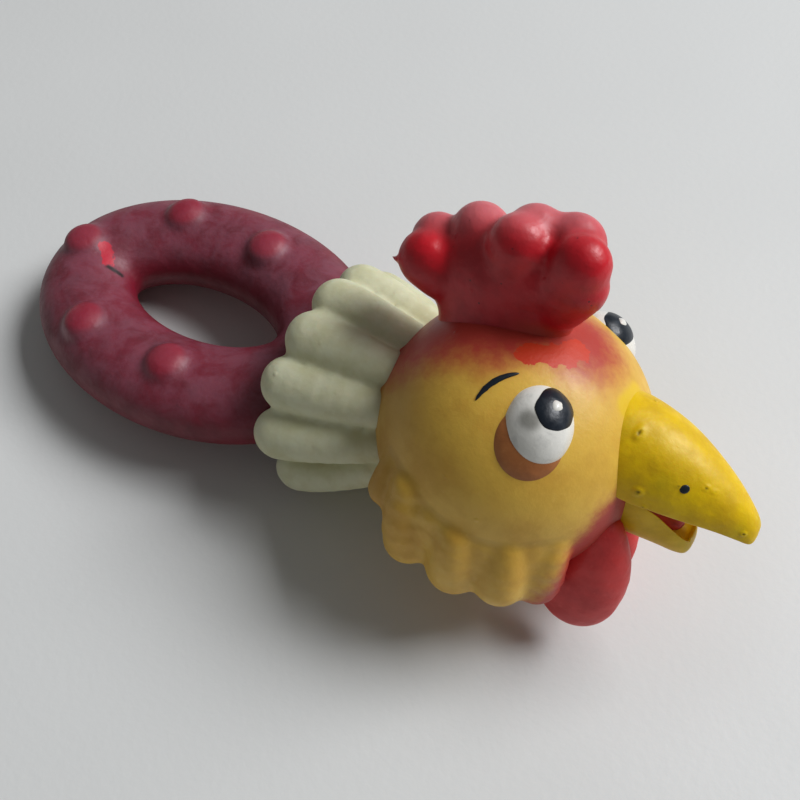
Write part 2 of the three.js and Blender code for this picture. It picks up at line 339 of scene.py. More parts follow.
class Recipe:
    """A material that is being built, with a short way to add nodes."""

    def __init__(self, name: str) -> None:
        """Start a material that holds only a shader and its output."""
        self.material = bpy.data.materials.new(name)
        self.material.use_nodes = True
        self.tree = self.material.node_tree
        self.tree.nodes.clear()
        self.shader = self.add("ShaderNodeBsdfPrincipled")
        output = self.add("ShaderNodeOutputMaterial")
        self.tree.links.new(self.shader.outputs[0], output.inputs[0])
        self.spot = self.add("ShaderNodeTexCoord").outputs["Object"]

    def add(self, kind: str, settings: dict | None = None, **sockets: object) -> bpy.types.Node:
        """Add a node.

        Args:
            kind: The node's type.
            settings: Values of the node's own properties.
            **sockets: Inputs by name, with _ for a space; a number, a colour or an output to link.

        Returns:
            The node.
        """
        node = self.tree.nodes.new(kind)
        for key, value in (settings or {}).items():
            setattr(node, key, value)
        for key, value in sockets.items():
            name = key.replace("_", " ")
            socket = node.inputs[int(key[1:])] if key[0] == "i" and key[1:].isdigit() else node.inputs[name]
            self.feed(socket, value)
        return node

    def feed(self, socket: Socket, value: object) -> None:
        """Link an output to an input, or set the input's own value."""
        if isinstance(value, Socket):
            self.tree.links.new(value, socket)
        else:
            socket.default_value = value

    def noise(self, size_mm: float, detail: float = 3, rough: float = 0.55, distort: float = 0) -> Socket:
        """Give a noise pattern whose lumps are about a size in millimetres."""
        node = self.add("ShaderNodeTexNoise", Vector=self.spot, Scale=1 / (size_mm * MM), Detail=detail)
        node.inputs["Roughness"].default_value = rough
        node.inputs["Distortion"].default_value = distort
        return node.outputs["Fac"]

    def cells(self, size_mm: float) -> Socket:
        """Give the distance to the nearest of many scattered points about a size apart."""
        node = self.add("ShaderNodeTexVoronoi", Vector=self.spot, Scale=1 / (size_mm * MM), Randomness=1)
        return node.outputs["Distance"]

    def span(
        self, value: Socket, low: float, high: float, to_low: float = 0, to_high: float = 1
    ) -> Socket:
        """Map a value from one range to another, smoothly and within the limits."""
        node = self.add("ShaderNodeMapRange", {"interpolation_type": "SMOOTHSTEP"}, Value=value)
        for index, number in enumerate((low, high, to_low, to_high)):
            node.inputs[index + 1].default_value = number
        return node.outputs[0]

    def mask(self, name: str) -> Socket:
        """Read a number that was painted on the piece's points."""
        settings = {"attribute_name": name, "attribute_type": "GEOMETRY"}
        return self.add("ShaderNodeAttribute", settings).outputs["Fac"]

    def sum(self, kind: str, a: object, b: object) -> Socket:
        """Join two values by an operation such as ADD or MULTIPLY."""
        return self.add("ShaderNodeMath", {"operation": kind}, i0=a, i1=b).outputs[0]

    def mix(self, share: object, a: object, b: object) -> Socket:
        """Mix two colours by a share."""
        node = self.add("ShaderNodeMix", {"data_type": "RGBA"})
        for socket, value in zip((node.inputs[0], node.inputs[6], node.inputs[7]), (share, a, b)):
            self.feed(socket, value)
        return node.outputs[2]

    def bumps(self, *layers: tuple[Socket, float]) -> None:
        """Stack bump layers, each a height pattern and its height in millimetres."""
        normal = None
        for height, depth in layers:
            node = self.add("ShaderNodeBump", Height=height, Distance=depth * MM)
            node.inputs["Strength"].default_value = 1
            if normal is not None:
                self.tree.links.new(normal, node.inputs["Normal"])
            normal = node.outputs[0]
        self.tree.links.new(normal, self.shader.inputs["Normal"])

    def set(self, **sockets: object) -> None:
        """Set or link the shader's own inputs by name."""
        for key, value in sockets.items():
            self.feed(self.shader.inputs[key.replace("_", " ")], value)


@dataclass(frozen=True)
class Latex:
    """Dip-moulded latex with a thin coat of rubber paint: satin, with mottled tone, pinholes and pimples."""

    name: str
    base: str
    deep: str
    pale: str
    gloss: float = 0.42
    mottle_mm: float = 9
    pimple: float = 0.12
    lump: float = 0.35

    def start(self) -> tuple[Recipe, Socket]:
        """Build what all the latex colours share.

        Returns:
            The recipe and its colour so far.
        """
        recipe = Recipe(self.name)
        broad = recipe.noise(self.mottle_mm, 4, 0.6)
        fine = recipe.noise(1.6, 3, 0.6)
        # uneven paint: darker and paler drifts as the coat thins and pools
        colour = recipe.mix(recipe.span(broad, 0.35, 0.72), linear(self.base), linear(self.deep))
        colour = recipe.mix(recipe.span(fine, 0.58, 0.8, 0, 0.35), colour, linear(self.pale))
        # satin sheen that varies where hands and floor have rubbed it
        recipe.set(Roughness=recipe.span(broad, 0.3, 0.75, self.gloss, self.gloss + 0.14))
        recipe.set(IOR=1.5, Subsurface_Weight=0.12, Subsurface_Scale=0.004)
        recipe.set(Subsurface_Radius=(1.0, 0.45, 0.2))
        # fine skin texture, soft lumps from dipping, and scattered pimples
        pimples = recipe.span(recipe.cells(7.5), 0.1, 0.02)
        recipe.bumps(
            (recipe.noise(5, 2, 0.5), self.lump),
            (recipe.noise(0.7, 3, 0.6), 0.05),
            (pimples, self.pimple),
        )
        return recipe, colour

    def build(self) -> Material:
        """Build the plain material."""
        recipe, colour = self.start()
        recipe.set(Base_Color=colour)
        return recipe.material


@dataclass(frozen=True)
class HeadLatex(Latex):
    """The head's yellow latex, airbrushed red round the comb and at the chin."""

    red: str = "b4382c"
    orange: str = "cc3610"

    def build(self) -> Material:
        """Build the material with its airbrushed fades, its painted shade at the back and in the crease, and
        its bare orange patch.
        """
        recipe, colour = self.start()
        grain = recipe.noise(2.4, 4, 0.65)
        # orange-brown where the red spray thins out, and browner toward the neck: painted shade on the back
        # of the head, partly a real brownish airbrush
        haze = recipe.span(recipe.mask("crown_spray"), 0, 0.55, 0, 0.5)
        colour = recipe.mix(haze, colour, linear("c8743a"))
        colour = recipe.mix(recipe.span(recipe.mask("rear_shade_and_tan"), 0, 1, 0, 0.5), colour, linear("9a6628"))
        # airbrushed red, grainy at its faded edge
        for name in ("crown_spray", "chin_spray"):
            cloud = recipe.sum("ADD", recipe.mask(name), recipe.span(grain, 0.2, 0.8, -0.14, 0.14))
            colour = recipe.mix(recipe.span(cloud, 0.08, 0.95), colour, linear(self.red))
        # the patch where the red coat flaked off and bare orange shows
        flake = recipe.sum("ADD", recipe.mask("flaked"), recipe.span(grain, 0.2, 0.8, -0.4, 0.4))
        colour = recipe.mix(recipe.span(flake, 0.48, 0.54), colour, linear(self.orange))
        # yellow smear above the beak
        colour = recipe.mix(recipe.mask("beak_smear"), colour, linear("e8c020"))
        # painted shade in the crease above the jowl
        colour = recipe.mix(recipe.span(recipe.mask("crease_shade"), 0, 1, 0, 0.14), colour, linear("8a5c1c"))
        recipe.set(Base_Color=colour)
        return recipe.material


@dataclass(frozen=True)
class BeakLatex(Latex):
    """Lemon-yellow latex, greenish where the coat thins, with dark pinholes."""

    def build(self) -> Material:
        """Build the material with its thin places and pinholes."""
        recipe, colour = self.start()
        # greenish drifts where the yellow is thin over the grey latex below
        thin = recipe.span(recipe.noise(11, 3, 0.5), 0.5, 0.75, 0, 0.4)
        colour = recipe.mix(thin, colour, linear("c8b410"))
        colour = recipe.mix(recipe.sum("MULTIPLY", recipe.mask("pinhole"), 0.75), colour, linear("3a2c08"))
        recipe.set(Base_Color=colour, IOR=1.4)
        return recipe.material


@dataclass(frozen=True)
class CombLatex(Latex):
    """Crimson latex, paler pink on the tops from a painted highlight and some rubbing, with an orange foot.
    """

    def build(self) -> Material:
        """Build the material with its painted highlight on rubbed tops, dark specks and its foot."""
        recipe, colour = self.start()
        # paler pink on the tops and the lit side: painted highlight, partly rubbed wear
        colour = recipe.mix(recipe.span(recipe.mask("highlight_and_rub"), 0, 1, 0, 0.7), colour, linear("e0848a"))
        specks = recipe.span(recipe.cells(3.4), 0.09, 0.03)
        colour = recipe.mix(specks, colour, linear("4a0a10"))
        colour = recipe.mix(recipe.mask("foot"), colour, linear("c8402c"))
        recipe.set(Base_Color=colour)
        return recipe.material


@dataclass(frozen=True)
class RingLatex(Latex):
    """Maroon latex, greyish on top from a powdery bloom and a painted sheen, with brighter rubbed nubs."""

    def build(self) -> Material:
        """Build the material with its bloom and painted sheen, streaks and rubbed nubs."""
        recipe, colour = self.start()
        # greyish powdery bloom and painted sheen, in clouds on the upper side
        drift = recipe.noise(7, 5, 0.7, 0.4)
        cloud = recipe.sum("MULTIPLY", recipe.mask("bloom"), recipe.span(drift, 0.3, 0.7, 0.35, 1))
        colour = recipe.mix(recipe.span(cloud, 0, 1, 0, 0.3), colour, linear("a8788a"))
        colour = recipe.mix(recipe.span(recipe.mask("nub"), 0.1, 0.9, 0, 0.6), colour, linear("a01c34"))
        # the ragged bright patch where the coat wore off
        grain = recipe.noise(2, 4, 0.7)
        ragged = recipe.sum("ADD", recipe.mask("worn"), recipe.span(grain, 0.2, 0.8, -0.35, 0.35))
        colour = recipe.mix(recipe.span(ragged, 0.42, 0.6), colour, linear("c8283e"))
        # the split beside it, open to the dark inside
        colour = recipe.mix(recipe.mask("slit"), colour, linear("200a0e"))
        recipe.set(Base_Color=colour)
        return recipe.material


@dataclass(frozen=True)
class BrushPaint:
    """Thick brushed rubber paint: glossy, with a soft edge and a little grey dirt."""

    name: str
    base: str
    dirt: str
    gloss: float
    amount: float = 0.3

    def build(self) -> Material:
        """Build the material."""
        recipe = Recipe(self.name)
        smear = recipe.noise(3.2, 4, 0.6, 0.6)
        # grey finger dirt dragged across the paint
        grime = recipe.span(smear, 0.5, 0.75, 0, self.amount)
        colour = recipe.mix(grime, linear(self.base), linear(self.dirt))
        # a thumb-print of grime on the white
        thumb = recipe.span(recipe.mask("smudge"), 0, 1, 0, 0.8)
        recipe.set(Base_Color=recipe.mix(thumb, colour, linear("76746c")))
        recipe.set(Roughness=recipe.span(smear, 0.3, 0.8, self.gloss, self.gloss + 0.2), IOR=1.48)
        # brush ridges and a slight orange peel in the dried paint
        recipe.bumps((recipe.noise(1.5, 2, 0.5), 0.08), (recipe.noise(0.5, 2, 0.5), 0.02))
        return recipe.material


@dataclass(frozen=True)
class SqueakerPlastic:
    """Injection-moulded polyethylene: milky, matte, faintly scratched."""

    def build(self) -> Material:
        """Build the material."""
        recipe = Recipe("squeaker_polyethylene")
        marks = recipe.noise(2, 4, 0.6)
        recipe.set(Base_Color=recipe.mix(marks, linear("e6e8e6"), linear("cfd2cf")), IOR=1.51)
        recipe.set(Roughness=recipe.span(marks, 0.2, 0.8, 0.35, 0.55))
        recipe.set(Subsurface_Weight=0.1, Subsurface_Scale=0.002)
        recipe.bumps((recipe.noise(0.6, 3, 0.6), 0.02))
        return recipe.material


@dataclass(frozen=True)
class TableTop:
    """A painted pale tabletop with a fine orange-peel surface."""

    def build(self) -> Material:
        """Build the material."""
        recipe = Recipe("pale_painted_tabletop")
        drift = recipe.noise(60, 2, 0.5)
        recipe.set(Base_Color=recipe.mix(drift, linear("e2e3e1"), linear("dadbd9")), IOR=1.45)
        recipe.set(Roughness=recipe.span(drift, 0.3, 0.7, 0.5, 0.58))
        recipe.bumps((recipe.noise(2.2, 2, 0.5), 0.05))
        return recipe.material


Finish = tuple[Material, str]


def dress(piece: Piece, finish: Finish) -> None:
    """Give a piece its only material."""
    material, slot = finish
    piece.data.materials.clear()
    piece.data.materials.append(material)


# ------------------------------------------------------------------- sub-assemblies

COMB_FOOT = ((-23.5, 0, 18.5), (-9.0, 0, 29.4), (9.0, 0, 29.6))


@dataclass
class Head:
    """The ball of the head with its jowls and lids."""

    lid_sizes: Triple = (8.0, 8.5, 4.4)
    flange: tuple[float, float] = (8.9, 2.2)
    barrel: tuple[float, float] = (6.5, 17)
    # [azimuth, tip latitude, tip distance, tip radius, top latitude, top distance, top radius]
    lobes: tuple = (
        (123.5, -15, 31.3, 4.2, -2, 28.4, 3.4),
        (117.5, -26, 30.4, 3.8, -3, 28.0, 3.4),
        (111, -35, 32.9, 5.9, -5, 29.3, 4.2),
        (98.5, -37.5, 29.9, 4.5, -12, 28.2, 4.0),
        (86, -39.5, 32.1, 6.5, -16, 29.2, 4.3),
        (74.5, -38, 30.1, 4.8, -18, 27.8, 4.0),
        (63, -36.5, 32.1, 6.4, -17, 28.4, 4.3),
        (53.5, -37.5, 30.7, 4.7, -14, 27.4, 4.0),
        (44.5, -38.4, 32.4, 5.6, -12, 27.6, 4.0),
    )

    def skin(self) -> Piece:
        """Build the head's skin with its painted masks."""
        clay = Clay("head_skin", PLACES.head)
        clay.egg((0, 0, 0), (HEAD_R, HEAD_R, HEAD_R), detail=96)
        for side in Side:
            for azimuth, low, reach, radius, high, top_reach, top_radius in self.lobes:
                for t in (0, 0.25, 0.5, 0.75, 1):
                    size = top_radius + (radius - top_radius) * t
                    latitude = high + (low - high) * t
                    distance = top_reach + (reach - top_reach) * t
                    spot = on_ball(side.value * azimuth, latitude, distance)
                    clay.egg(spot.translation, [size] * 3, detail=28)
        # the neck's root inside the collar
        clay.egg((-30, 0, -3.5), (12, 15.5, 15.5))
        piece = clay.melt(0.9, 5)
        self.open_squeaker(piece)
        self.mask(piece)
        return piece

    def open_squeaker(self, piece: Piece) -> None:
        """Cut the seat of the squeaker into the head's underside."""
        seat = PLACES.head @ scaled(on_ball(180, -76, HEAD_R))
        for radius, deep in (self.flange, self.barrel):
            clear_selection()
            bpy.ops.mesh.primitive_cylinder_add(vertices=64, radius=radius * MM, depth=(deep + 6) * MM)
            cutter = bpy.context.active_object
            cutter.data.transform(seat @ Matrix.Translation((0, 0, (3 - deep / 2) * MM)))
            finish_with(piece, "BOOLEAN", object=cutter, operation="DIFFERENCE", solver="EXACT")
            bpy.data.objects.remove(cutter)
        take(piece)
        bpy.ops.object.shade_smooth_by_angle(angle=math.radians(50))

    def mask(self, piece: Piece) -> None:
        """Paint where the sprays, the flaked patch, the painted shade at the back and the painted shade in
        the crease lie.
        """
        spots = local_points(piece, PLACES.head)
        comb = path_distance(spots, *COMB_FOOT)
        front = ramp(spots[:, 0], -4, 8)
        paint(piece, "crown_spray", ramp(comb + 7 * front, 25, 8))
        under = np.full(len(spots), 99.0)
        for y in (-1, 1):
            stops = (28.6, y * 9.5, -2.5), (25.5, y * 13.5, -15), (22, y * 15, -24)
            under = np.minimum(under, path_distance(spots, *stops))
        under = np.minimum(under, segment_distance(spots, (29, 0, -13), (22, 0, -24)) - 5)
        paint(piece, "chin_spray", ramp(under, 14, 4.5))
        foot = path_distance(spots, (2.5, -10.5, 28.2), (8.5, -7.0, 28.4), (10.0, -3.4, 28.4))
        paint(piece, "flaked", ramp(foot, 4.2, 1.0))
        # browner toward the back of the head: painted shade on the side away from the light, partly a real
        # brownish airbrush
        paint(piece, "rear_shade_and_tan", ramp(spots[:, 0], -2, -27))
        smear = segment_distance(spots, (22, -3.5, 20.5), (22.5, 2.5, 20.6))
        paint(piece, "beak_smear", ramp(smear, 3.2, 1.4))
        # painted shade along the crease where the ruff's lobes meet the ball
        ledge = np.full(len(spots), 99.0)
        for side in (1, -1):
            stops = [on_ball(side * lobe[0], lobe[4] + 7, 30.6).translation for lobe in self.lobes]
            ledge = np.minimum(ledge, path_distance(spots, *stops))
        paint(piece, "crease_shade", ramp(ledge, 1.8, 0.3))

    def lid(self, side: Side) -> Piece:
        """Build the brown swelling below one eye."""
        clay = Clay(f"lid_skin_{side.word}", PLACES.head)
        spot = PLACES.head @ scaled(on_ball(side.value * 65, 35.2, 27.4))
        clay.egg_at(spot, self.lid_sizes, 48)
        return clay.melt(0.6, 4)

    def wattle(self, side: Side) -> Piece:
        """Build one hanging wattle."""
        clay = Clay(f"wattle_skin_{side.word}", PLACES.head)
        if side is Side.LEFT:
            clay.egg((24.8, 7.4, -24.9), (8, 5.7, 16.1), detail=48)
            clay.egg((24, 8, -14), (6.5, 6.0, 9))
        else:
            for share in (0, 0.17, 0.33, 0.5, 0.67, 0.83, 1):
                bulk = math.sin(share * math.pi / 2)
                centre = (27.2 - 1.9 * share**2, -9.3 + 0.8 * share, -7.8 - 16.6 * share)
                clay.egg(centre, (4.6 + 5.4 * bulk, 3.9 + 2.4 * bulk, 5.6 + 7.2 * share), detail=48)
        return clay.melt(0.8, 8)


def scaled(matrix: Matrix) -> Matrix:
    """Take a frame in millimetres to metres."""
    out = matrix.copy()
    out.translation = matrix.translation * MM
    return out


@dataclass
class Eye:
    """One painted eye: a bulging white, a black pupil and a glint, with a brow stroke."""

    side: Side
    white: Triple = (7.3, 8.4, 6.5)
    sunk: float = 27.2
    latitude: float = 41.8
    pupil_radius: float = 4.1
    pupil_latitude: float = 47.7
    pupil_out: float = 32.6
    glint_radius: float = 1.2

    def place(self) -> Matrix:
        """Give the eye's own frame in millimetres of the head's frame."""
        azimuth = 62.6 if self.side is Side.LEFT else 61.2
        return on_ball(self.side.value * azimuth, self.latitude, self.sunk)

    def ball(self) -> Piece:
        """Build the white."""
        place = self.place()

        def shape(point: Vector) -> Vector:
            """Take a unit ball's point to the white's surface."""
            wobble = 1 + 0.02 * noise.noise(point * 1.7)
            local = Vector([c * s * wobble for c, s in zip(point, self.white)])
            return place @ local

        piece = shaped_ball(f"eye_paint_{self.side.word}", PLACES.head, shape, 64)
        thumb = on_ball(self.side.value * 68.5, 43.3, 33.4).translation
        spots = local_points(piece, PLACES.head)
        paint(piece, "smudge", ramp(segment_distance(spots, thumb, thumb + Vector((0.8, 0, 0))), 3.6, 0.2))
        return piece

    def surface(self, u: float, v: float, lift: float) -> Vector:
        """Give a point a little above the white, at a place across it."""
        a, b, c = self.white
        inside = max(0.02, 1 - (u / a) ** 2 - (v / b) ** 2)
        normal = Vector((u / a**2, v / b**2, math.sqrt(inside) / c)).normalized()
        return Vector((u, v, c * math.sqrt(inside))) + normal * lift

    def blob(
        self,
        name: str,
        centre: tuple[float, float],
        sizes: tuple[float, float],
        rise: float,
        rough: float,
        seed: float,
    ) -> Piece:
        """Build a raised blob of paint that follows the white.

        Args:
            name: The piece's name.
            centre: Where it lies across the white.
            sizes: Its two half sizes.
            rise: How far it stands up.
            rough: How uneven its edge is.
            seed: Sets the edge's shape.

        Returns:
            The blob.
        """
        place = self.place()

        def shape(point: Vector) -> Vector:
            """Take a unit ball's point to the blob's surface."""
            angle = math.atan2(point.y, point.x)
            edge = 1 + rough * noise.noise(Vector((math.cos(angle) * 1.5, math.sin(angle) * 1.5, seed)))
            u = centre[0] + point.x * sizes[0] * edge
            v = centre[1] + point.y * sizes[1] * edge
            return place @ self.surface(u, v, point.z * rise)

        return shaped_ball(name, PLACES.head, shape, 48)

    def pupil_spot(self) -> tuple[float, float]:
        """Give where the pupil lies across the white."""
        azimuth = 56.6 if self.side is Side.LEFT else 54.9
        target = on_ball(self.side.value * azimuth, self.pupil_latitude, self.pupil_out).translation
        local = self.place().inverted() @ target
        return local.x, local.y

    def pupil(self) -> Piece:
        """Build the black pupil."""
        name = f"pupil_paint_{self.side.word}"
        sizes = (self.pupil_radius, self.pupil_radius)
        return self.blob(name, self.pupil_spot(), sizes, 0.45, 0.12, 3.1 + self.side.value)

    def glint(self) -> Piece:
        """Build the white dot on the pupil."""
        u, v = self.pupil_spot()
        spot = (u + 0.1 * self.side.value, v + 0.5)
        sizes = (self.glint_radius, self.glint_radius)
        return self.blob(f"glint_{self.side.word}", spot, sizes, 0.8, 0.2, 7.7)

    def brow(self) -> Piece:
        """Build the thin black brow stroke."""
        y = self.side.value
        # its lower end, the pull of its bow, and its upper end
        ends = (-2.2, y * 21.9, 21.2), (-1.5, y * 18.0, 25.2), (3.0, y * 15.2, 26.4)
        path = [Vector(spot) for spot in ends]

        def shape(point: Vector) -> Vector:
            """Take a unit ball's point to the stroke's surface."""
            t = (point.x + 1) / 2
            centre = path[0] * (1 - t) ** 2 + path[1] * 2 * t * (1 - t) + path[2] * t**2
            along = ((path[1] - path[0]) * (1 - t) + (path[2] - path[1]) * t).normalized()
            out = centre.normalized()
            across = out.cross(along).normalized()
            width = 0.62 + 0.14 * noise.noise(Vector((t * 9, 0, y)))
            return out * (HEAD_R + 0.05 + point.z * 0.28) + across * point.y * width

        return shaped_ball(f"brow_{self.side.word}", PLACES.head, shape, 40)


@dataclass
class Beak:
    """The two halves of the beak and the mouth between them."""

    upper_stations: tuple = (
        (17.0, 20.6, 5.0, 9.5),
        (23.0, 20.8, 4.0, 12.0),
        (29.0, 20.0, 3.0, 11.8),
        (35.0, 18.2, 2.8, 10.6),
        (41.0, 15.2, 2.4, 8.7),
        (47.0, 11.3, 1.8, 6.3),
        (51.4, 7.6, 0.8, 4.2),
        (53.8, 4.9, 0.3, 2.9),
        (54.6, 3.0, 1.1, 1.4),
    )
    lower_stations: tuple = (
        (20.0, 3.4, -8.4, 7.0),
        (26.0, 5.0, -9.6, 8.8),
        (31.0, 4.8, -9.8, 8.4),
        (35.0, 3.4, -9.9, 7.4),
        (38.0, 0.8, -10.1, 6.2),
        (40.8, -2.0, -10.4, 4.9),
        (43.0, -4.4, -10.2, 3.3),
        (43.9, -6.8, -8.4, 1.4),
    )

    @staticmethod
    def between(stations: Sequence[Sequence[float]], t: float) -> list[float]:
        """Blend smoothly between stations, as a spline through them."""
        place = t * (len(stations) - 1)
        index = min(int(place), len(stations) - 2)
        f = place - index
        p = [stations[min(max(index + k, 0), len(stations) - 1)] for k in (-1, 0, 1, 2)]
        return [
            0.5 * (
                2 * b + (c - a) * f + (2 * a - 5 * b + 4 * c - d) * f * f + (3 * b - a - 3 * c + d) * f**3
            )
            for a, b, c, d in zip(*p)
        ]

    def loft(
        self, name: str, stations: Sequence[Sequence[float]], square: float, belly: float, hollow: float = 0
    ) -> Piece:
        """Skin a smooth closed horn over stations of [x, top, bottom, half width].

        Args:
            name: The piece's name.
            stations: The sections along the horn.
            square: Below 1 makes the sections fuller, above 1 sharper.
            belly: How far down each section is widest, from 0 at its top to 1 at its bottom.
            hollow: How deep its upper side is scooped out.

        Returns:
            The horn.
        """

        def shape(point: Vector) -> Vector:
            """Take a unit ball's point to the horn's surface."""
            along = math.acos(max(-1, min(1, -point.z))) / math.pi
            reach = math.hypot(point.x, point.y)
            x, top, bottom, half = self.between(stations, along)
            middle = top * (1 - belly) + bottom * belly
            if reach < 1e-6:
                return Vector((x, 0, middle))
            side, rise = point.x / reach, point.y / reach
            side = math.copysign(abs(side) ** square, side)
            height = (top - middle) * rise if rise > 0 else (middle - bottom) * rise
            dip = hollow * max(0, rise) ** 1.5 * math.sin(min(1, along / 0.86) * math.pi) ** 0.5
            return Vector((x, half * side, middle + height - dip))

        piece = shaped_ball(name, PLACES.head, shape, 56)
        take(piece)
        bpy.ops.object.mode_set(mode="EDIT")
        bpy.ops.mesh.select_all(action="SELECT")
        bpy.ops.mesh.normals_make_consistent(inside=False)
        bpy.ops.object.mode_set(mode="OBJECT")
        return piece

    def upper(self) -> Piece:
        """Build the upper beak."""
        piece = self.loft("upper_beak_skin", self.upper_stations, 0.92, 0.86)
        finish_with(piece, "SUBSURF", levels=2, render_levels=2)
        self.raise_pimples(piece)
        smooth(piece)
        return piece

    def lower(self) -> Piece:
        """Build the lower beak."""
        piece = self.loft("lower_beak_skin", self.lower_stations, 0.7, 0.14, 6.0)
        finish_with(piece, "SUBSURF", levels=1, render_levels=1)
        smooth(piece)
        return piece

    def mouth(self) -> Piece:
        """Build the pink inside of the mouth."""
        clay = Clay("mouth_lining", PLACES.head)
        clay.egg((29.5, 0.2, -1.2), (9.2, 5.5, 2.7), (0, 12, 0))
        clay.egg((35.5, 0.4, -3.2), (5.6, 4.2, 2.4), (0, 16, 0))
        return clay.melt(0.6, 4)

    def pimple_spots(self) -> list[tuple[Vector, float]]:
        """Give where bubbles in the dip left pimples, with their sizes, on both sides of the upper beak."""
        right = [
            ((26.8, -13, 18.2), 0.85),
            ((31.0, -13, 8.3), 0.8),
            ((33.0, -13, 5.2), 0.4),
            ((37.6, -13, 11.4), 0.35),
            ((42.4, -13, 11.7), 0.45),
            ((43.9, -13, 11.2), 0.4),
            ((52.0, -13, 3.4), 0.5),
        ]
        left = [((29.0, 13, 9.0), 0.6), ((40.0, 13, 5.0), 0.5), ((45.0, 13, 8.0), 0.4)]
        return [(Vector(spot), size) for spot, size in right + left]

    def raise_pimples(self, piece: Piece) -> None:
        """Lift small rims with a pinhole in the middle on the upper beak, and mark the pinholes."""
        points = local_points(piece, PLACES.head)
        turn = PLACES.head.to_3x3().inverted()
        normals = np.array([turn @ vertex.normal for vertex in piece.data.vertices])
        holes = np.zeros(len(points))
        for spot, size in self.pimple_spots():
            gap = np.linalg.norm((points - np.array(spot))[:, [0, 2]], axis=1)
            gap = np.where(points[:, 1] * spot.y > 0, gap, 99)
            points += normals * (ramp(gap, size * 1.7, size * 0.6) * size * 0.4)[:, None]
            points -= normals * (ramp(gap, size * 0.6, 0) * size * 0.55)[:, None]
            holes = np.maximum(holes, ramp(gap, size * 0.62, size * 0.2))
        put_local(piece, PLACES.head, points)
        paint(piece, "pinhole", holes)

    def nostril(self, side: Side, beak: Piece) -> Piece:
        """Build one painted nostril dot on the upper beak."""
        aim = head_spot(38.8, side.value * 30, 11.5)
        goal = head_spot(38.8, 0, 11.0)
        hit, spot, normal, _ = beak.ray_cast(aim, (goal - aim).normalized())
        frame_here = Places.square(spot, normal.orthogonal(), normal.cross(normal.orthogonal()))

        def shape(point: Vector) -> Vector:
            """Flatten a unit ball's point into the dot."""
            return Vector((point.x, point.y * 0.9, point.z * 0.22))

        return shaped_ball(f"nostril_{side.word}", frame_here, shape, 24)


@dataclass
class Comb:
    """The comb: fat rounded ends on a thick slab, doubled across."""

    # [x, y, z, radius] of each fat end
    fingers: tuple = (
        (-26.0, -2.8, 34.6, 6.4),
        (-7.2, -2.8, 45.4, 6.4),
        (6.0, -3.2, 46.4, 6.2),
        (6.6, -2.4, 41.4, 6.0),
        (-26.4, 2.6, 36.6, 6.2),
        (-17.4, 2.8, 41.8, 6.6),
        (-5.6, 1.8, 46.0, 6.6),
        (2.2, 2.8, 46.8, 6.4),
    )

    def skin(self) -> Piece:
        """Build the comb's skin."""
        clay = Clay("comb_skin", PLACES.head)
        for x, y, z, r in self.fingers:
            foot = Vector((-8.5 + (x + 8.5) * 0.6, y * 0.3, 29))
            for step in (0, 0.15, 0.3, 0.45):
                spot = Vector((x, y, z)).lerp(foot, step)
                size = r * (1 - 0.2 * step)
                clay.egg(spot, (size, size * 0.86, size), detail=32)
        # the slab and its root, flared where it runs into the head
        clay.egg((-9, 0, 36.0), (18.0, 7.2, 12.0), (0, -20, 0), 56)
        clay.egg((-8.4, 0, 29.6), (15.8, 7.2, 8.4), (0, -19, 0), 48)
        clay.egg((-7.6, 0, 25.4), (15.6, 8.6, 4.8), (0, -19, 0), 48)
        # a drip of latex left by the mould
        clay.egg((-32.4, -3.4, 32.2), (2.0, 1.0, 1.0), detail=16)
        piece = clay.melt(0.85, 14)
        spots = local_points(piece, PLACES.head)
        # paler toward the tops and the lit side: painted highlight, partly rubbed wear
        paint(piece, "highlight_and_rub", ramp(spots[:, 2] - 0.35 * spots[:, 0] + 0.5 * spots[:, 1], 44, 58))
        paint(piece, "foot", ramp(np.linalg.norm(spots, axis=1), 34.0, 31) * ramp(spots[:, 0], -8, 4))
        return piece


@dataclass
class Collar:
    """The cream feather collar: a ring of fat rounded petals round the neck."""

    petals: int = 11
    first_turn: float = 17.7
    ring_reach: float = 19.8
    spread: float = 7.0

    def skin(self) -> Piece:
        """Build the collar's skin: a flared cone with a fat tapering petal along each ray."""
        clay = Clay("collar_skin", PLACES.collar)
        clay.egg((8, 0, 0), (17.5, 18.6, 18.6), detail=72)
        clay.egg((2.5, 0, 0), (10, 19.4, 19.4), detail=72)
        for index in range(self.petals):
            turn = self.first_turn + 360 * index / self.petals
            spin = Matrix.Rotation(math.radians(turn), 4, "X")
            low = (1 - math.cos(math.radians(turn))) / 2
            side = abs(math.sin(math.radians(turn)))
            outer = self.ring_reach + self.spread * low * side + 1.4 * low
            tip = -4.4 - 3.8 * side * side + 0.8 * noise.noise(Vector((index * 3.7, 0.5, 0)))
            for t in (0, 0.1, 0.2, 0.32, 0.45, 0.58, 0.72, 0.86, 1):
                x = tip + (17 - tip) * t
                reach = outer - (outer - 16.0) * t**1.4
                wide = 6.5 - 2.3 * t
                local = spin @ Matrix.Translation(Vector((x, 0, reach)) * MM)
                clay.egg_at(PLACES.collar @ local, (6.2, wide, 5.8 - 2.4 * t), 32)
        piece = clay.melt(0.8, 6)
        Ring.rest_on_floor(piece)
        return piece


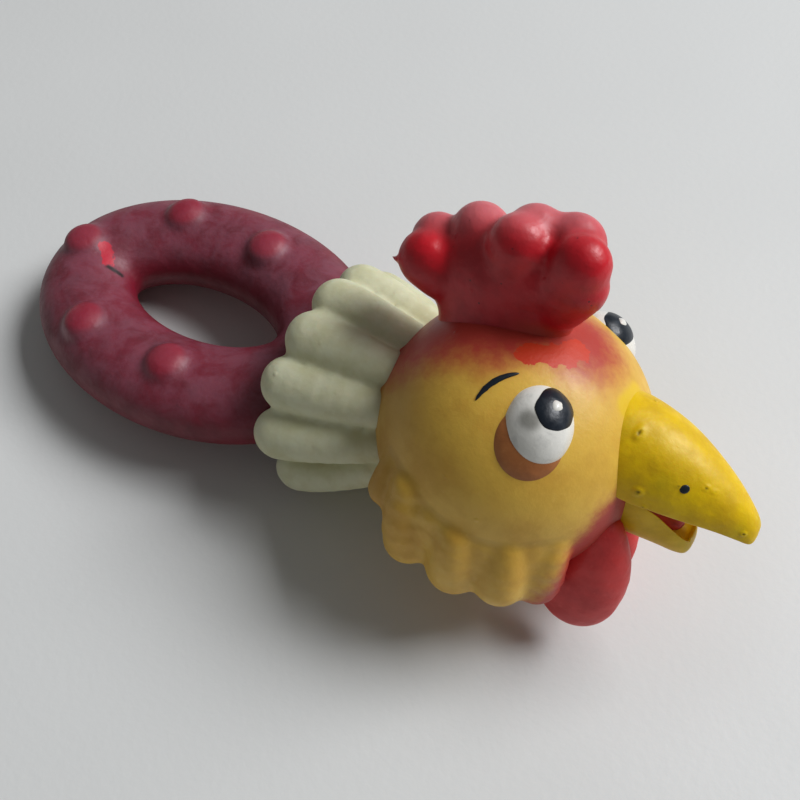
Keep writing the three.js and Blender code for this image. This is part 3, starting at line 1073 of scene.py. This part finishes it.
@dataclass
class Ring:
    """The oval chewing ring with its nubs, and the neck that joins it to the collar."""

    half_length: float = 36.1
    half_width: float = 22.3
    tube_wide: float = 12.9
    tube_high: float = 10.0
    end_ball: float = 12.0
    nub_sizes: Triple = (6.0, 6.0, 3.8)
    top_nubs: tuple = ((7.9, -21.6), (-19.2, -21.2), (-38.2, 0), (-19.2, 20.2), (7.9, 20.6))
    low_nubs: tuple = ((-5, -22), (-31.8, -11), (-31.8, 11), (-5, 22))

    def tube(self) -> Piece:
        """Build the oval tube."""
        clear_selection()
        bpy.ops.mesh.primitive_torus_add(
            major_segments=128, minor_segments=48, major_radius=10, minor_radius=1
        )
        piece = bpy.context.active_object
        for vertex in piece.data.vertices:
            x, y, z = vertex.co
            angle = math.atan2(y, x)
            across = math.hypot(x, y) - 10
            normal = Vector((self.half_width * math.cos(angle), self.half_length * math.sin(angle)))
            normal.normalize()
            spot = Vector((
                self.half_length * math.cos(angle) + normal.x * across * self.tube_wide,
                self.half_width * math.sin(angle) + normal.y * across * self.tube_wide,
                z * self.tube_high,
            ))
            vertex.co = PLACES.ring @ (spot * MM)
        return piece

    def nub_spots(self) -> list[Vector]:
        """Give the nubs' centres in the ring's frame."""
        spots = []
        for group, level in ((self.top_nubs, 1), (self.low_nubs, -1)):
            spots += [Vector((x, y, level * (self.tube_high - 1.2))) for x, y in group]
        return spots

    def skin(self) -> Piece:
        """Build the ring's skin."""
        clay = Clay("ring_skin", PLACES.ring)
        clay.add(self.tube())
        clay.egg((BALL_X, 0, 0), [self.end_ball] * 3)
        clay.egg((37, 0, 0), (14.5, 15, 9.8))
        for spot in self.nub_spots():
            clay.egg(spot, self.nub_sizes, detail=32)
        piece = clay.melt(0.95, 6)
        self.rest_on_floor(piece)
        self.mask(piece)
        return piece

    @staticmethod
    def rest_on_floor(piece: Piece) -> None:
        """Flatten what would sink into the floor."""
        points = points_of(piece)
        points[:, 2] = np.maximum(points[:, 2], 0.0)
        put_points(piece, points)

    def mask(self, piece: Piece) -> None:
        """Paint where the bloom with its painted sheen, the nubs and the worn patch lie."""
        spots = local_points(piece, PLACES.ring)
        # greyer toward the top: powdery bloom with painted sheen from the light above
        paint(piece, "bloom", ramp(spots[:, 2], 0, 9))
        near = np.full(len(spots), 99.0)
        for spot in self.nub_spots():
            gap = (spots - np.array(spot)) / np.array((1, 1, 1.4))
            near = np.minimum(near, np.linalg.norm(gap, axis=1))
        paint(piece, "nub", ramp(near, 6.2, 3.6))
        worn = segment_distance(spots, (-31.5, 0.6, 9.8), (-27.6, -2.2, 9.2))
        paint(piece, "worn", ramp(worn, 3.0, 0.6))
        slit = segment_distance(spots, (-27.4, -3.6, 8.4), (-24.2, -3.0, 5.6))
        paint(piece, "slit", ramp(slit, 0.9, 0.3))


# ------------------------------------------------------------------------ the stage


@dataclass
class Studio:
    """The tabletop, the lights and the camera."""

    azimuth: float = 29.14
    elevation: float = 58.94
    roll: float = 2.51
    lens: float = 44.28
    stand: Triple = (30.0, -106.1, 226.0)

    def table(self) -> Piece:
        """Build the tabletop."""
        clear_selection()
        bpy.ops.mesh.primitive_plane_add(size=4, location=(0, 0, 0))
        piece = bpy.context.active_object
        piece.name = "tabletop"
        settle(piece)
        piece.data.materials.append(TableTop().build())
        return piece

    def camera(self) -> None:
        """Build the camera."""
        turn, lift = math.radians(self.azimuth), math.radians(self.elevation)
        back = Vector((math.sin(turn) * math.cos(lift), -math.cos(turn) * math.cos(lift), math.sin(lift)))
        right = Vector((math.cos(turn), math.sin(turn), 0))
        up = back.cross(right)
        spin = math.radians(self.roll)
        cosine, sine = math.cos(spin), math.sin(spin)
        right, up = right * cosine + up * sine, up * cosine - right * sine
        matrix = Places.square(Vector((0, 0, 0)), right, up)
        base = PLACES.head.translation.copy()
        base.z = 0
        matrix.translation = base + Vector(self.stand) * MM
        data = bpy.data.cameras.new("camera")
        data.lens = self.lens
        data.sensor_width = 36
        data.clip_start = 0.01
        holder = bpy.data.objects.new("camera", data)
        bpy.context.scene.collection.objects.link(holder)
        holder.matrix_world = matrix
        bpy.context.scene.camera = holder

    def lamp(
        self, name: str, spot: Triple, aim: Triple, size: tuple[float, float], power: float, tint: str
    ) -> None:
        """Add one soft lamp.

        Args:
            name: The lamp's name.
            spot: Where it stands, in metres.
            aim: What it faces.
            size: Its width and height.
            power: Its power in watts.
            tint: Its colour code.
        """
        data = bpy.data.lights.new(name, "AREA")
        data.shape = "RECTANGLE"
        data.size, data.size_y = size
        data.energy = power
        data.color = linear(tint)[:3]
        holder = bpy.data.objects.new(name, data)
        bpy.context.scene.collection.objects.link(holder)
        holder.location = spot
        holder.rotation_euler = (Vector(spot) - Vector(aim)).to_track_quat("Z", "Y").to_euler()

    def lights(self) -> None:
        """Build the window light and the room's soft fill."""
        self.lamp("window", (0.98, 1.09, 1.66), (0, 0, 0.02), (1.2, 0.95), 49, "fbfcff")
        world = bpy.data.worlds.new("room")
        world.use_nodes = True
        world.node_tree.nodes["Background"].inputs[0].default_value = (0.98, 1.0, 1.0, 1)
        world.node_tree.nodes["Background"].inputs[1].default_value = 0.13
        bpy.context.scene.world = world
        bpy.context.scene.view_settings.view_transform = "Standard"


# --------------------------------------------------------------------------- main


def place_piece(piece: Piece, finish: Finish, body: str, *nodes: str) -> None:
    """Dress a piece, let it ride with a body and stand for its nodes, and report it."""
    dress(piece, finish)
    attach(piece, body)
    if nodes:
        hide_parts(*nodes)
    LOG.info("%s rides on %s, %d faces", piece.name, body, len(piece.data.polygons))


def bend_piece(
    piece: Piece, finish: Finish, bodies: tuple[str, str], start: Vector, end: Vector, *nodes: str
) -> None:
    """Dress a soft piece, bake its place into its mesh and stand for its nodes, and report it.

    Args:
        piece: The piece.
        finish: Its material and the record's slot for it.
        bodies: The names of two bodies, given only in the report.
        start: A point in metres; not used.
        end: A second point; not used.
        *nodes: The nodes that it stands for.
    """
    dress(piece, finish)
    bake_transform(piece)
    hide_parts(*nodes)
    LOG.info("%s bends from %s to %s, %d faces", piece.name, *bodies, len(piece.data.polygons))


def build_head() -> None:
    """Build and dress everything that rides with the head."""
    skins = HeadLatex("airbrushed_yellow_latex", "e8bb4a", "d8a63c", "f0c660", 0.42, lump=0.14)
    horns = BeakLatex("painted_yellow_beak_latex", "eec600", "dab000", "f6d42c", 0.4, 6, 0.2)
    yellow = skins.build(), "head_latex"
    horn = horns.build(), "beak_latex"
    red = CombLatex("crimson_comb_latex", "cc1022", "aa0a1a", "d62c38", 0.36).build(), "comb_latex"
    coral = Latex("coral_wattle_latex", "e03c3a", "c82e2e", "e85e58", 0.44).build(), "wattle_latex"
    brown = Latex("brown_lid_latex", "ba743c", "a2602e", "c48a52", 0.46).build(), "lid_latex"
    white = BrushPaint("white_eye_paint", "eceae2", "9a9a98", 0.2).build(), "eye_paint"
    black = BrushPaint("slate_black_paint", "151d27", "38414c", 0.3, 0.5).build(), "pupil_paint"
    pink = BrushPaint("pink_mouth_paint", "c23a40", "8c2028", 0.4, 0.6).build(), "mouth_paint"

    head = Head()
    place_piece(head.skin(), yellow, "head", "head", "ruff_left", "ruff_right")
    beak = Beak()
    upper = beak.upper()
    place_piece(upper, horn, "head", "upper_beak")
    for side in Side:
        place_piece(head.lid(side), brown, "head", f"lower_lid_{side.word}")
        wattle = head.wattle(side)
        Ring.rest_on_floor(wattle)
        place_piece(wattle, coral, "head", f"wattle_{side.word}")
        eye = Eye(side)
        place_piece(eye.ball(), white, "head", f"eye_white_{side.word}")
        place_piece(eye.pupil(), black, "head", f"pupil_{side.word}")
        place_piece(eye.glint(), white, "head")
        place_piece(eye.brow(), black, "head")
        place_piece(beak.nostril(side, upper), black, "head")
    jaw = head_spot(22, 0, -4), head_spot(33, 0, -4)
    bend_piece(beak.lower(), horn, ("head", "jaw"), *jaw, "lower_beak")
    place_piece(beak.mouth(), pink, "jaw", "tongue")
    root = head_spot(-8, 0, 27), head_spot(-8, 0, 40)
    bend_piece(Comb().skin(), red, ("head", "comb"), *root, "comb")


def build_handle() -> None:
    """Build and dress the collar and the ring."""
    ring = RingLatex("bloomed_maroon_latex", "7c1228", "660a1c", "8c2236", 0.46, 10, 0.06)
    cream = Latex("cream_collar_latex", "dcdcba", "cfcda4", "e8e8d0", 0.6, 7, 0.1).build(), "collar_latex"
    maroon = ring.build(), "ring_latex"
    place_piece(Collar().skin(), cream, "collar", "feather_collar")
    nubs = [name for name in frame["nodes"] if name.startswith("nub_")]
    neck = PLACES.ring @ (Vector((28, 0, 0)) * MM)
    bend_piece(Ring().skin(), maroon, ("collar", "ring"), PLACES.ball, neck, "ring_handle", *nubs)


def build_squeaker() -> None:
    """Dress the squeaker's own parts."""
    plastic = SqueakerPlastic().build()
    for name in ("squeaker_housing", "squeaker_anvil", "squeaker_reed"):
        node = frame["nodes"][name]
        node.data.materials.clear()
        node.data.materials.append(plastic)


def main() -> None:
    """Build the toy and its stage."""
    logging.basicConfig(level=logging.INFO)
    build_head()
    build_handle()
    build_squeaker()
    studio = Studio()
    studio.table()
    studio.camera()
    studio.lights()


if __name__ == "__main__":
    main()
